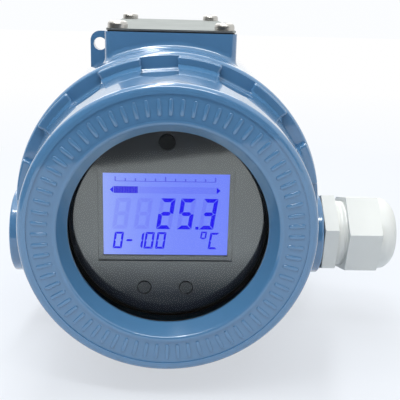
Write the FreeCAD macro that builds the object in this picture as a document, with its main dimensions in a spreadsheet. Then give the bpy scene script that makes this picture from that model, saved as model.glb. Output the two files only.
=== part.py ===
import FreeCAD, Part
import Sketcher
import math
import os

doc = FreeCAD.newDocument("transmitter")

# Driving sizes in millimetres, degrees for angles
table = [
    # lengths along the cover axis
    ("body_length", 110.0),
    ("boss_setback", 33.0),
    ("partition_thickness", 4.0),
    ("front_cover_length", 31.0),
    ("rear_cover_length", 20.0),
    ("rear_wall", 5.0),
    # display panel, which sets the diameters from the inside outwards
    ("lcd_width", 42.0),
    ("lcd_height", 29.6),
    ("lcd_border", 1.2),
    ("lcd_shift", 0.9),
    ("lcd_lift", 2.4),
    ("lcd_margin", 1.56),
    ("lcd_thickness", 1.8),
    ("light_box_thickness", 2.4),
    ("board_thickness", 1.6),
    ("bezel_wall", 2.0),
    ("bezel_face", 2.2),
    ("bezel_ledge", 1.0),
    ("bezel_round", 1.5),
    ("bezel_gap", 1.6),
    ("bezel_side", 2.6),
    ("bezel_rim", 2.4),
    ("frame_border", 1.5),
    ("frame_depth", 0.7),
    # keys of the display
    ("key_radius", 2.0),
    ("top_key_radius", 2.3),
    ("key_spread", 6.7),
    ("key_inset", 7.7),
    ("key_proud", 0.3),
    ("key_flange", 0.5),
    ("key_flange_thickness", 0.8),
    ("key_stem", 1.1),
    ("key_travel", 0.6),
    ("switch_side", 3.6),
    ("switch_height", 1.1),
    # window and front cover
    ("gasket_thickness", 0.5),
    ("glass_thickness", 5.0),
    ("glass_overlap", 6.2),
    ("ring_width", 3.0),
    ("ring_step", 1.4),
    ("ring_length", 3.2),
    ("ring_notch", 3.0),
    ("lip_depth", 5.8),
    ("lip_land", 0.8),
    ("lip_slope", 2.9),
    ("lip_round", 1.0),
    ("skirt_wall", 3.4),
    ("skirt_length", 9.5),
    ("rim_draft", 2.0),
    ("rim_round", 1.9),
    ("band_margin", 0.8),
    ("band_depth", 0.4),
    ("rear_round", 4.0),
    ("ridge_step", 4.3),
    ("lug_count", 12),
    ("lug_angle", 10.7),
    ("lug_length", 4.0),
    ("lug_drop", 0.9),
    ("lug_face", 2.5),
    ("lug_foot", 4.2),
    ("lug_round", 0.8),
    ("gap_width", 11.6),
    ("gap_depth", 4.5),
    ("gap_rim", 1.5),
    ("gap_round", 1.0),
    # sealing rings, clearances
    ("seal_section", 2.4),
    ("seal_play", 0.1),
    ("thread_gap", 0.25),
    ("seat_gap", 0.3),
    ("slip_gap", 0.1),
    ("key_gap", 0.3),
    ("tap_gap", 0.05),
    ("overcut", 1.0),
    ("overlap", 0.5),
    # barrel and compartments
    ("barrel_wall", 9.3),
    ("barrel_round", 2.0),
    ("bore_depth", 10.5),
    ("cavity_step", 2.4),
    # nameplate pad, plate and screws
    ("pad_width", 44.6),
    ("pad_setback", 12.0),
    ("pad_tail", 5.6),
    ("pad_height", 5.3),
    ("pad_corner", 2.4),
    ("pad_foot", 2.5),
    ("plate_inset", 0.5),
    ("plate_thickness", 0.6),
    ("plate_corner", 1.5),
    ("backing_thickness", 0.4),
    ("backing_inset", 0.3),
    ("plate_screw_inset", 4.2),
    ("plate_screw_head", 3.4),
    ("plate_screw_height", 2.4),
    ("plate_screw_round", 1.3),
    ("plate_screw_shank", 1.9),
    ("plate_screw_depth", 6.0),
    ("cross_length", 3.8),
    ("cross_width", 1.0),
    ("cross_depth", 1.3),
    # tag ear
    ("ear_setback", 46.0),
    ("ear_thickness", 5.0),
    ("ear_reach", 8.2),
    ("ear_height", 3.6),
    ("ear_corner", 3.6),
    ("ear_hole", 2.4),
    ("ear_wall", 1.2),
    # conduit entries
    ("entry_radius", 9.25),
    ("entry_depth", 16.0),
    ("passage_radius", 7.5),
    ("passage_margin", 1.0),
    ("boss_wall", 6.0),
    ("boss_drop", 16.8),
    ("boss_proud", 4.94),
    ("boss_round", 0.8),
    ("boss_foot", 2.4),
    # sensor entry below
    ("sensor_reach", 4.54),
    ("sensor_radius", 12.5),
    ("sensor_depth", 13.0),
    ("sensor_step", 2.0),
    ("sensor_wall", 7.5),
    ("sensor_round", 1.2),
    ("sensor_foot", 2.4),
    # plug of the left entry
    ("plug_length", 13.0),
    ("plug_inset", 0.6),
    ("plug_socket", 10.0),
    ("plug_socket_depth", 7.0),
    # electronics module and feedthrough
    ("module_gap", 2.6),
    ("register_height", 1.2),
    ("module_screw_spread", 20.0),
    ("module_screw_shank", 1.5),
    ("module_screw_head", 2.75),
    ("module_screw_height", 2.0),
    ("module_screw_depth", 2.8),
    ("feed_radius", 5.0),
    ("feed_flange", 1.6),
    ("feed_flange_thickness", 1.5),
    ("feed_pin", 0.6),
    ("feed_pin_spread", 2.2),
    ("feed_pin_length", 5.0),
    # terminal block and its posts
    ("block_lift", 10.0),
    ("block_height", 22.0),
    ("block_thickness", 14.0),
    ("terminal_pitch", 8.0),
    ("rib_thickness", 1.4),
    ("rib_height", 5.0),
    ("block_ear", 7.5),
    ("block_ear_height", 11.0),
    ("block_ear_thickness", 4.0),
    ("post_radius", 4.2),
    ("post_length", 38.0),
    ("clamp_height", 9.0),
    ("clamp_thickness", 1.0),
    ("terminal_head", 2.8),
    ("terminal_head_height", 2.0),
    ("terminal_shank", 1.5),
    ("terminal_depth", 6.0),
    ("slot_width", 0.8),
    ("slot_depth", 1.0),
    ("block_screw_head", 3.2),
    ("block_screw_height", 2.2),
    ("block_screw_shank", 1.6),
    ("block_screw_depth", 6.0),
    # earth terminals inside and outside
    ("inner_earth_drop", 29.0),
    ("inner_earth_boss", 5.0),
    ("inner_earth_rise", 6.0),
    ("earth_head", 3.8),
    ("earth_height", 2.6),
    ("earth_shank", 1.9),
    ("earth_depth", 5.0),
    ("outer_earth_setback", 60.0),
    ("outer_earth_drop", 20.0),
    ("outer_earth_boss", 7.0),
    ("outer_earth_rise", 2.4),
    ("washer_radius", 5.2),
    ("washer_thickness", 1.0),
    # cable gland
    ("cable_radius", 6.5),
    ("gland_seal_wall", 2.6),
    ("gland_neck_wall", 2.7),
    ("gland_cap_wall", 1.3),
    ("gland_washer_thickness", 0.4),
    ("gland_washer_width", 3.4),
    ("gland_thread_length", 11.0),
    ("gland_hex_length", 5.0),
    ("gland_hex_bevel", 0.5),
    ("gland_hex_turn", 21.0),
    ("gland_cap_turn", 15.0),
    ("gland_neck_length", 11.4),
    ("gland_seal_inset", 2.0),
    ("gland_cap_stand", 3.95),
    ("gland_cap_hex", 12.05),
    ("gland_dome_length", 7.0),
    ("gland_mouth_gap", 1.1),
    ("gland_dome_round", 5.4),
    ("gland_lip", 2.4),
    ("claw_base", 2.0),
    ("claw_finger", 4.0),
    ("claw_wall", 1.5),
    ("claw_slit", 1.2),
    ("claw_count", 10),
]

sheet = doc.addObject("Spreadsheet::Sheet", "sizes")
for row, (alias, number) in enumerate(table, 1):
    sheet.set(f"A{row}", alias)
    sheet.set(f"B{row}", str(number))
    sheet.setAlias(f"B{row}", alias)
doc.recompute()


def value(expression):
    result = sheet.evalExpression(expression)
    return float(getattr(result, "Value", result))


# Diameters, from the display panel outwards
corner_x = "(sizes.lcd_width / 2 + sizes.lcd_shift)"
corner_z = "(sizes.lcd_height / 2 + sizes.lcd_lift)"
bezel_inner = f"(sqrt({corner_x} ^ 2 + {corner_z} ^ 2) + sizes.lcd_margin)"
board_radius = f"({bezel_inner} + sizes.bezel_ledge)"
bezel_radius = f"({bezel_inner} + sizes.bezel_wall)"
ring_inner = f"({bezel_radius} + sizes.bezel_side)"
glass_radius = f"({ring_inner} + sizes.ring_width)"
ring_outer = f"({glass_radius} + sizes.ring_step)"
skirt_inner = f"({ring_outer} + sizes.slip_gap)"
skirt_radius = f"({skirt_inner} + sizes.skirt_wall)"
bore_radius = f"({skirt_radius} + sizes.thread_gap)"
barrel_radius = f"({bore_radius} + sizes.barrel_wall)"
cavity_radius = f"({bore_radius} - sizes.cavity_step)"
ridge_radius = f"({barrel_radius} - sizes.ridge_step)"
face_radius = f"({ridge_radius} - sizes.rim_draft)"
lug_radius = f"({barrel_radius} - sizes.lug_drop)"
brow_radius = f"({lug_radius} - sizes.lug_face)"
gap_floor = f"({lug_radius} - sizes.gap_depth)"
gap_angle = "(sizes.lug_angle + 180 / sizes.lug_count)"
window_radius = f"({glass_radius} - sizes.glass_overlap)"
module_radius = f"({skirt_inner} - sizes.module_gap)"
axis_height = f"({barrel_radius} + sizes.sensor_reach)"
boss_reach = f"({barrel_radius} + sizes.boss_proud)"

# Stations along the cover axis, front to back
front = "(-sizes.boss_setback)"
back = f"({front} + sizes.body_length)"
nose = f"({front} - sizes.front_cover_length)"
tail = f"({back} + sizes.rear_cover_length)"
glass_front = f"({nose} + sizes.lip_depth + sizes.gasket_thickness)"
glass_back = f"({glass_front} + sizes.glass_thickness)"
bezel_front = f"({glass_back} + sizes.bezel_gap)"
lcd_front = f"({bezel_front} + sizes.bezel_face)"
lcd_back = f"({lcd_front} + sizes.lcd_thickness)"
board_front = f"({lcd_back} + sizes.light_box_thickness)"
board_back = f"({board_front} + sizes.board_thickness)"
module_front = f"({board_back} + sizes.bezel_rim)"
wall_front = f"({front} + sizes.bore_depth)"
wall_back = f"({wall_front} + sizes.partition_thickness)"
post_end = f"({wall_back} + sizes.post_length)"
block_back = f"({post_end} + sizes.block_thickness)"
conduit_y = f"({wall_back} + sizes.passage_margin + sizes.passage_radius)"
seal_y = f"(sizes.seal_section / 2 + sizes.seal_play)"

# Heights above the cover axis
pad_top = f"({barrel_radius} + sizes.pad_height)"
plate_under = f"({pad_top} + sizes.backing_thickness)"
plate_top = f"({plate_under} + sizes.plate_thickness)"
conduit_z = "(-sizes.boss_drop)"
boss_radius = "(sizes.entry_radius + sizes.boss_wall)"
lower_keys_z = f"(-({bezel_inner} - sizes.key_inset))"
top_key_z = f"({bezel_inner} - sizes.top_key_radius - sizes.key_flange - sizes.slip_gap * 6)"

# Radii of the cable gland, from the cable outwards
gland_seal_outer = "(sizes.cable_radius + sizes.gland_seal_wall)"
gland_bore = f"({gland_seal_outer} + sizes.slip_gap * 2)"
gland_neck = f"({gland_bore} + sizes.gland_neck_wall)"
gland_cap_bore = f"({gland_neck} + sizes.thread_gap)"
gland_flat = f"({gland_cap_bore} + sizes.gland_cap_wall)"
gland_face = f"({boss_reach} + sizes.gland_washer_thickness)"
gland_step = f"({gland_face} + sizes.gland_hex_length)"
gland_neck_end = f"({gland_step} + sizes.gland_neck_length)"
gland_cap_start = f"({gland_step} + sizes.gland_cap_stand)"
gland_dome_start = f"({gland_cap_start} + sizes.gland_cap_hex)"
gland_end = f"({gland_dome_start} + sizes.gland_dome_length)"
gland_lip_start = f"({gland_end} - sizes.gland_lip)"
claw_root = f"({gland_neck_end} + sizes.slip_gap * 2)"
claw_tip = f"({claw_root} + sizes.claw_base + sizes.claw_finger)"


def new_body(label, x=None, y=None, z=None):
    body = doc.addObject("PartDesign::Body", label)
    body.Label = label
    for axis, place in zip("xyz", (x, y, z)):
        if place is not None:
            body.setExpression(f"Placement.Base.{axis}", place)
    return body


def drawing(body, label, role, start, outlines=(), circles=(), turn=None):
    sketch = body.newObject("Sketcher::SketchObject", label + "_sketch")
    plane = next(item for item in body.Origin.OriginFeatures if item.Role == role)
    sketch.AttachmentSupport = (plane, [""])
    sketch.MapMode = "FlatFace"
    if turn is not None:
        angle = value(turn)
        sketch.AttachmentOffset = FreeCAD.Placement(
            FreeCAD.Vector(), FreeCAD.Rotation(FreeCAD.Vector(0, 0, 1), angle)
        )
        sketch.setExpression("AttachmentOffset.Rotation.Angle", turn)
    if start != "0":
        away = f"-({start})" if role == "XZ_Plane" else start
        sketch.setExpression("AttachmentOffset.Base.z", away)

    def bind(kind, geometry, point, expression, number, axis):
        if expression == "0":
            rule = Sketcher.Constraint("PointOnObject", geometry, point, axis)
            sketch.addConstraint(rule)
            return
        rule = Sketcher.Constraint(kind, -1, 1, geometry, point, number)
        sketch.setExpression(f"Constraints[{sketch.addConstraint(rule)}]", expression)

    for points in outlines:
        spots = [FreeCAD.Vector(value(x), value(y), 0) for x, y in points]
        count = len(spots)
        first = sketch.GeometryCount
        for i in range(count):
            line = Part.LineSegment(spots[i], spots[(i + 1) % count])
            sketch.addGeometry(line, False)
        for i in range(count):
            follower = first + (i + 1) % count
            joint = Sketcher.Constraint("Coincident", first + i, 2, follower, 1)
            sketch.addConstraint(joint)
        for i, (x, y) in enumerate(points):
            bind("DistanceX", first + i, 1, x, spots[i].x, -2)
            bind("DistanceY", first + i, 1, y, spots[i].y, -1)
    for x, y, radius in circles:
        centre = FreeCAD.Vector(value(x), value(y), 0)
        circle = Part.Circle(centre, FreeCAD.Vector(0, 0, 1), value(radius))
        index = sketch.addGeometry(circle, False)
        bind("DistanceX", index, 3, x, centre.x, -2)
        bind("DistanceY", index, 3, y, centre.y, -1)
        rule = Sketcher.Constraint("Radius", index, value(radius))
        sketch.setExpression(f"Constraints[{sketch.addConstraint(rule)}]", radius)
    return sketch


def turned(body, label, role, points=None, circles=(), cut=False, axis="H_Axis", seam=None):
    outlines = [points] if points else []
    sketch = drawing(body, label, role, "0", outlines, circles)
    if seam is not None:
        lean = FreeCAD.Rotation(FreeCAD.Vector(1, 0, 0), value(seam))
        sketch.AttachmentOffset = FreeCAD.Placement(FreeCAD.Vector(), lean)
        sketch.setExpression("AttachmentOffset.Rotation.Angle", seam)
    kind = "PartDesign::Groove" if cut else "PartDesign::Revolution"
    feature = body.newObject(kind, label)
    feature.Profile = sketch
    feature.ReferenceAxis = (sketch, [axis])
    feature.Angle = 360
    return feature


def prism(body, label, role, start, length, outlines=(), circles=(), cut=False, turn=None):
    sketch = drawing(body, label, role, start, outlines, circles, turn)
    kind = "PartDesign::Pocket" if cut else "PartDesign::Pad"
    feature = body.newObject(kind, label)
    feature.Profile = sketch
    feature.setExpression("Length", length)
    feature.Reversed = (role == "XZ_Plane") != cut
    return feature


def around(body, label, feature, role, count):
    axis = next(item for item in body.Origin.OriginFeatures if item.Role == role)
    pattern = body.newObject("PartDesign::PolarPattern", label)
    pattern.Originals = [feature]
    pattern.Axis = (axis, [""])
    pattern.Angle = 360
    pattern.setExpression("Occurrences", count)
    body.Tip = pattern
    return pattern


def rounded(body, label, radius, wanted):
    doc.recompute()
    base = body.Tip
    names = [f"Edge{i}" for i, edge in enumerate(base.Shape.Edges, 1) if wanted(edge)]
    feature = body.newObject("PartDesign::Fillet", label)
    feature.Base = (base, names)
    feature.setExpression("Radius", radius)
    doc.recompute()
    return feature


def near(a, b, play=0.02):
    return abs(a - b) < play


def middle(edge):
    first, last = edge.ParameterRange
    return edge.valueAt((first + last) / 2)


def ring_at(axis, *rings):
    spots = [(value(station), value(radius)) for station, radius in rings]

    def wanted(edge):
        if not isinstance(edge.Curve, Part.Circle):
            return False
        centre = getattr(edge.Curve.Center, axis)
        size = edge.Curve.Radius
        return any(near(centre, a) and near(size, b) for a, b in spots)
    return wanted


def box(x0, x1, y0, y1):
    return [(x0, y0), (x1, y0), (x1, y1), (x0, y1)]


def centred(x, y, width, height):
    return box(
        f"{x} - ({width}) / 2", f"{x} + ({width}) / 2",
        f"{y} - ({height}) / 2", f"{y} + ({height}) / 2",
    )


def hexagon(flat):
    corner = f"({flat}) / cos(30)"
    return [
        (f"{corner} * cos({angle})", f"{corner} * sin({angle})") if angle % 180 else
        (f"{corner} * {1 if angle == 0 else -1}", "0")
        for angle in range(0, 360, 60)
    ]


# Housing: one casting with barrel, pad, ear, bosses and two compartments
housing = new_body("housing", z=axis_height)
turned(housing, "barrel", "YZ_Plane",
       [(front, "0"), (back, "0"), (back, barrel_radius), (front, barrel_radius)])
rounded(housing, "barrel_ends", "sizes.barrel_round",
        ring_at("y", (front, barrel_radius), (back, barrel_radius)))


def seam_on_barrel(edge):
    spot = middle(edge)
    on_barrel = near(math.hypot(spot.x, spot.z), value(barrel_radius), 0.05)
    between = value(front) + 2 < spot.y < value(back) - 2
    owners = housing.Tip.Shape.ancestorsOfType(edge, Part.Face)
    return on_barrel and between and len(owners) == 2


def upright(edge):
    along = isinstance(edge.Curve, Part.Line) and abs(edge.tangentAt(edge.FirstParameter).z) > 0.99
    return along and middle(edge).z > value(barrel_radius) / 2


pad_front = f"({front} + sizes.pad_setback)"
pad_back = f"({back} - sizes.pad_tail)"
pad_length = f"({pad_back} - {pad_front})"
pad_middle = f"(({pad_front} + {pad_back}) / 2)"
prism(housing, "nameplate_pad", "XY_Plane", "0", pad_top,
      [box("-sizes.pad_width / 2", "sizes.pad_width / 2", pad_front, pad_back)])
rounded(housing, "pad_corners", "sizes.pad_corner", upright)
rounded(housing, "pad_foot", "sizes.pad_foot", seam_on_barrel)

sensor_outer = "(sizes.sensor_radius + sizes.sensor_wall)"
prism(housing, "sensor_boss", "XY_Plane", f"-{axis_height}", axis_height,
      circles=[("0", "0", sensor_outer)])


def sensor_seam(edge):
    spot = middle(edge)
    across = math.hypot(spot.x, spot.y)
    return seam_on_barrel(edge) and near(across, value(sensor_outer), 0.05)


rounded(housing, "sensor_foot", "sizes.sensor_foot", sensor_seam)
rounded(housing, "sensor_edge", "sizes.sensor_round",
        ring_at("z", (f"-{axis_height}", sensor_outer)))

prism(housing, "conduit_bosses", "YZ_Plane", f"-{boss_reach}", f"2 * {boss_reach}",
      circles=[(conduit_y, conduit_z, boss_radius)])


def boss_seam(edge):
    spot = middle(edge)
    across = math.hypot(spot.y - value(conduit_y), spot.z - value(conduit_z))
    return seam_on_barrel(edge) and near(across, value(boss_radius), 0.05)


rounded(housing, "boss_feet", "sizes.boss_foot", boss_seam)
rounded(housing, "boss_ends", "sizes.boss_round",
        ring_at("x", (boss_reach, boss_radius), (f"-{boss_reach}", boss_radius)))

ear_front = f"({front} + sizes.ear_setback)"
ear_left = "(-sizes.pad_width / 2 - sizes.ear_reach)"
ear_top = f"({barrel_radius} + sizes.ear_height)"
ear_hole_x = f"({ear_left} + sizes.ear_wall + sizes.ear_hole)"
ear_hole_z = f"({ear_top} - 2 * sizes.ear_wall - sizes.ear_hole)"
prism(housing, "tag_ear", "XZ_Plane", ear_front, "sizes.ear_thickness",
      [box(ear_left, "-sizes.pad_width / 4", f"{barrel_radius} / 2", ear_top)])


def ear_edge(edge):
    spot = middle(edge)
    along = isinstance(edge.Curve, Part.Line) and abs(edge.tangentAt(edge.FirstParameter).y) > 0.99
    return along and near(spot.x, value(ear_left)) and near(spot.z, value(ear_top))


rounded(housing, "ear_corner", "sizes.ear_corner", ear_edge)
prism(housing, "ear_eye", "XZ_Plane", ear_front, "sizes.ear_thickness",
      circles=[(ear_hole_x, ear_hole_z, "sizes.ear_hole")], cut=True)

outer_earth_y = f"({front} + sizes.outer_earth_setback)"
outer_earth_z = "(-sizes.outer_earth_drop)"
barrel_side = f"sqrt({barrel_radius} ^ 2 - sizes.outer_earth_drop ^ 2)"
outer_earth_x = f"({barrel_side} + sizes.outer_earth_rise)"
prism(housing, "earth_boss", "YZ_Plane", "0", outer_earth_x,
      circles=[(outer_earth_y, outer_earth_z, "sizes.outer_earth_boss")])

# Compartments with their threaded mouths and the recesses of the sealing rings
recess = f"({skirt_radius} + sizes.seal_section + sizes.seal_play * 3)"
recess_depth = "(sizes.seal_section + sizes.seal_play * 2)"
turned(housing, "front_compartment", "YZ_Plane", [
    (f"{front} - sizes.overcut", "0"), (f"{front} - sizes.overcut", recess),
    (f"{front} + {recess_depth}", recess),
    (f"{front} + {recess_depth}", bore_radius),
    (wall_front, bore_radius), (wall_front, "0"),
], cut=True)
turned(housing, "rear_compartment", "YZ_Plane", [
    (wall_back, "0"), (wall_back, cavity_radius),
    (f"{back} - sizes.bore_depth", cavity_radius),
    (f"{back} - sizes.bore_depth", bore_radius),
    (f"{back} - {recess_depth}", bore_radius),
    (f"{back} - {recess_depth}", recess),
    (f"{back} + sizes.overcut", recess), (f"{back} + sizes.overcut", "0"),
], cut=True)

# Entries for cable, plug and sensor
prism(housing, "right_entry", "YZ_Plane", f"{boss_reach} - sizes.entry_depth", "sizes.entry_depth",
      circles=[(conduit_y, conduit_z, "sizes.entry_radius")], cut=True)
prism(housing, "left_entry", "YZ_Plane", f"-{boss_reach}", "sizes.entry_depth",
      circles=[(conduit_y, conduit_z, "sizes.entry_radius")], cut=True)
prism(housing, "passage", "YZ_Plane", f"-{boss_reach}", f"2 * {boss_reach}",
      circles=[(conduit_y, conduit_z, "sizes.passage_radius")], cut=True)
prism(housing, "sensor_entry", "XY_Plane", f"-{axis_height}", "sizes.sensor_depth",
      circles=[("0", "0", "sizes.sensor_radius")], cut=True)
prism(housing, "sensor_passage", "XY_Plane", f"-{axis_height}", f"{axis_height} * 0.5",
      circles=[("0", "0", "sizes.sensor_radius - sizes.sensor_step")], cut=True)

# Posts of the terminal block, boss of the inner earth screw
block_half = "(3 * sizes.terminal_pitch + sizes.rib_thickness / 2)"
post_x = f"({block_half} + sizes.block_ear / 2)"
posts = [(post_x, "sizes.block_lift"), (f"-{post_x}", "sizes.block_lift")]
prism(housing, "posts", "XZ_Plane", wall_back, "sizes.post_length",
      circles=[(x, z, "sizes.post_radius") for x, z in posts])
prism(housing, "inner_earth_boss", "XZ_Plane", wall_back, "sizes.inner_earth_rise",
      circles=[("0", "-sizes.inner_earth_drop", "sizes.inner_earth_boss")])

# Tapped holes, each a little deeper than its screw
plate_x = "(sizes.pad_width / 2 - sizes.plate_screw_inset)"
plate_y = f"({pad_length} / 2 - sizes.plate_screw_inset)"
plate_spots = [
    (f"{a}{plate_x}", f"{pad_middle} {b} {plate_y}") for a in ("", "-") for b in ("+", "-")
]
module_spots = [("sizes.module_screw_spread", "0"), ("-sizes.module_screw_spread", "0")]


def tapped(label, role, mouth_at, depth, shank, spots):
    deep = f"({depth} + sizes.overcut)"
    holes = [(a, b, f"{shank} + sizes.tap_gap") for a, b in spots]
    prism(housing, label, role, f"{mouth_at} - {deep}", deep, circles=holes, cut=True)


tapped("plate_holes", "XY_Plane", pad_top, "sizes.plate_screw_depth", "sizes.plate_screw_shank", plate_spots)
tapped("post_holes", "XZ_Plane", post_end, "sizes.block_screw_depth", "sizes.block_screw_shank", posts)
tapped("inner_earth_hole", "XZ_Plane", f"({wall_back} + sizes.inner_earth_rise)",
       "sizes.earth_depth", "sizes.earth_shank", [("0", "-sizes.inner_earth_drop")])
tapped("outer_earth_hole", "YZ_Plane", outer_earth_x,
       "sizes.earth_depth", "sizes.earth_shank", [(outer_earth_y, outer_earth_z)])
module_tap = "sizes.module_screw_shank + sizes.tap_gap"
prism(housing, "module_holes", "XZ_Plane", wall_front, "sizes.module_screw_depth + sizes.seat_gap",
      circles=[(x, z, module_tap) for x, z in module_spots], cut=True)
prism(housing, "feed_hole", "XZ_Plane", wall_front, "sizes.partition_thickness",
      circles=[("0", "sizes.block_lift", "sizes.feed_radius + sizes.slip_gap")], cut=True)

# Front cover with window lip, shallow band on the face, threaded skirt and a brim cut into grip lugs
flange_front = f"({front} - sizes.seat_gap)"
lug_front = f"({flange_front} - sizes.lug_length)"
foot_front = f"({lug_front} - sizes.lug_foot)"
lip_radius = f"({window_radius} + sizes.lip_slope)"
band_inner = f"({lip_radius} + sizes.lip_round / 2 + sizes.band_margin)"
band_outer = f"({face_radius} - sizes.rim_round - sizes.band_margin)"
band_floor = f"({nose} + sizes.band_depth)"
glass_seat = f"({nose} + sizes.lip_depth)"
glass_pocket = f"({glass_radius} + sizes.slip_gap)"
skirt_front = f"({front} + sizes.skirt_length)"
front_cover = new_body("front_cover", z=axis_height)
turned(front_cover, "cover_ring", "YZ_Plane", [
    (nose, lip_radius), (nose, band_inner), (band_floor, band_inner),
    (band_floor, band_outer), (nose, band_outer), (nose, face_radius),
    (foot_front, ridge_radius), (lug_front, brow_radius), (lug_front, lug_radius),
    (flange_front, lug_radius), (flange_front, skirt_radius),
    (skirt_front, skirt_radius), (skirt_front, skirt_inner),
    (glass_back, skirt_inner), (glass_back, glass_pocket),
    (glass_seat, glass_pocket), (glass_seat, window_radius),
    (f"{glass_seat} - sizes.lip_land", window_radius),
], seam=gap_angle)
rounded(front_cover, "rim_edge", "sizes.rim_round", ring_at("y", (nose, face_radius)))
rounded(front_cover, "lip_edge", "sizes.lip_round", ring_at("y", (nose, lip_radius)))


# A flat recess runs along the flank up to a thin wall, and what stays between two of them is a lug
def cut_lugs(body, label, start, way, end):
    wall = f"({start} {way} sizes.gap_rim)"
    tip = f"({start} {way} sizes.lug_length)"
    ends = [f"{end} {way} sizes.overcut", wall]
    if way == "+":
        ends.reverse()
    outline = box("-sizes.gap_width / 2", "sizes.gap_width / 2", *ends)
    gap = prism(body, label, "XY_Plane", "0", "2 * sizes.gap_depth", [outline], cut=True)
    sketch = gap.Profile[0]
    lean = FreeCAD.Rotation(FreeCAD.Vector(0, 1, 0), value(gap_angle))
    sketch.AttachmentOffset = FreeCAD.Placement(FreeCAD.Vector(), lean)
    sketch.setExpression("AttachmentOffset.Rotation.Angle", gap_angle)
    sketch.setExpression("AttachmentOffset.Base.x", f"{gap_floor} * sin({gap_angle})")
    sketch.setExpression("AttachmentOffset.Base.z", f"{gap_floor} * cos({gap_angle})")
    around(body, label + "s", gap, "Y_Axis", "sizes.lug_count")

    def root_edge(edge):
        spot = middle(edge)
        low = near(math.hypot(spot.x, spot.z), value(gap_floor), 0.1)
        return isinstance(edge.Curve, Part.Line) and near(spot.y, value(wall)) and low

    def lug_edge(edge):
        spot = middle(edge)
        out = math.hypot(spot.x, spot.z)
        topmost = near(out, value(lug_radius), 0.05)
        at_tip = near(spot.y, value(tip))
        if not isinstance(edge.Curve, Part.Line):
            return topmost and at_tip
        beside = abs(spot.y - value(tip)) < abs(value(wall) - value(tip)) - 0.1
        return beside and (topmost or at_tip and out > value(brow_radius) + 0.3)
    rounded(body, label + "_roots", "sizes.gap_round", root_edge)
    rounded(body, label + "_lugs", "sizes.lug_round", lug_edge)


cut_lugs(front_cover, "front_gap", flange_front, "-", nose)

# Rear cover, blind, with the same brim and lugs
flange_back = f"({back} + sizes.seat_gap)"
lug_back = f"({flange_back} + sizes.lug_length)"
foot_back = f"({lug_back} + sizes.lug_foot)"
skirt_back = f"({back} - sizes.skirt_length)"
cup_floor = f"({tail} - sizes.rear_wall)"
rear_cover = new_body("rear_cover", z=axis_height)
turned(rear_cover, "cover_cup", "YZ_Plane", [
    (tail, "0"), (tail, face_radius), (foot_back, ridge_radius),
    (lug_back, brow_radius), (lug_back, lug_radius),
    (flange_back, lug_radius), (flange_back, skirt_radius),
    (skirt_back, skirt_radius), (skirt_back, skirt_inner),
    (cup_floor, skirt_inner), (cup_floor, "0"),
], seam=gap_angle)
rounded(rear_cover, "tail_edge", "sizes.rear_round", ring_at("y", (tail, face_radius)))
cut_lugs(rear_cover, "rear_gap", flange_back, "+", tail)

# Sealing rings of the covers
seal_middle = f"({skirt_radius} + sizes.seal_play + sizes.seal_section / 2)"
for label, station in (("front_seal", f"{front} + {seal_y}"), ("rear_seal", f"{back} - {seal_y}")):
    seal = new_body(label, z=axis_height)
    turned(seal, label + "_ring", "YZ_Plane",
           circles=[(station, seal_middle, "sizes.seal_section / 2")])

# Window: gasket, glass and the ring that holds them
gasket = new_body("window_gasket", z=axis_height)
turned(gasket, "gasket_ring", "YZ_Plane",
       box(glass_seat, glass_front, f"{window_radius} + sizes.slip_gap", glass_radius))
glass = new_body("window_glass", z=axis_height)
prism(glass, "glass_disc", "XZ_Plane", glass_front, "sizes.glass_thickness",
      circles=[("0", "0", glass_radius)])
ring = new_body("glass_ring", z=axis_height)
turned(ring, "ring_band", "YZ_Plane",
       box(glass_back, f"{glass_back} + sizes.ring_length", ring_inner, ring_outer))
across_ring = f"2 * ({ring_outer} + sizes.overcut)"
prism(ring, "ring_notches", "XZ_Plane", f"{glass_back} + sizes.ring_length / 2", "sizes.ring_length",
      [centred("0", "0", across_ring, "sizes.ring_notch")], cut=True)

# Display: bezel, panel, light box, circuit board, key switches and keys
lcd_x = "(-sizes.lcd_shift)"
opening = ("sizes.lcd_width - 2 * sizes.lcd_border", "sizes.lcd_height - 2 * sizes.lcd_border")
framed = tuple(f"{side} + 2 * sizes.frame_border" for side in opening)
keys = [
    ("left_key", f"({lcd_x} - sizes.key_spread)", lower_keys_z, "sizes.key_radius"),
    ("right_key", f"({lcd_x} + sizes.key_spread)", lower_keys_z, "sizes.key_radius"),
    ("top_key", lcd_x, top_key_z, "sizes.top_key_radius"),
]
bezel = new_body("display_bezel", z=axis_height)
turned(bezel, "bezel_cup", "YZ_Plane", [
    (bezel_front, "0"), (bezel_front, bezel_radius), (module_front, bezel_radius),
    (module_front, board_radius), (board_front, board_radius), (board_front, bezel_inner),
    (lcd_front, bezel_inner), (lcd_front, "0"),
])
rounded(bezel, "bezel_edge", "sizes.bezel_round", ring_at("y", (bezel_front, bezel_radius)))
prism(bezel, "bezel_frame", "XZ_Plane", f"{bezel_front} - sizes.overcut",
      "sizes.frame_depth + sizes.overcut", [centred(lcd_x, "sizes.lcd_lift", *framed)], cut=True)
prism(bezel, "bezel_opening", "XZ_Plane", bezel_front, "sizes.bezel_face",
      [centred(lcd_x, "sizes.lcd_lift", *opening)], cut=True)
prism(bezel, "key_holes", "XZ_Plane", bezel_front, "sizes.bezel_face",
      circles=[(x, z, f"{size} + sizes.key_gap") for name, x, z, size in keys], cut=True)
lcd = new_body("lcd_panel", z=axis_height)
prism(lcd, "lcd_plate", "XZ_Plane", lcd_front, "sizes.lcd_thickness",
      [centred(lcd_x, "sizes.lcd_lift", "sizes.lcd_width", "sizes.lcd_height")])
light_box = new_body("light_box", z=axis_height)
prism(light_box, "light_plate", "XZ_Plane", lcd_back, "sizes.light_box_thickness",
      [centred(lcd_x, "sizes.lcd_lift", "sizes.lcd_width", "sizes.lcd_height")])
board = new_body("display_board", z=axis_height)
prism(board, "board_disc", "XZ_Plane", board_front, "sizes.board_thickness",
      circles=[("0", "0", f"{board_radius} - sizes.slip_gap")])
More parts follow.
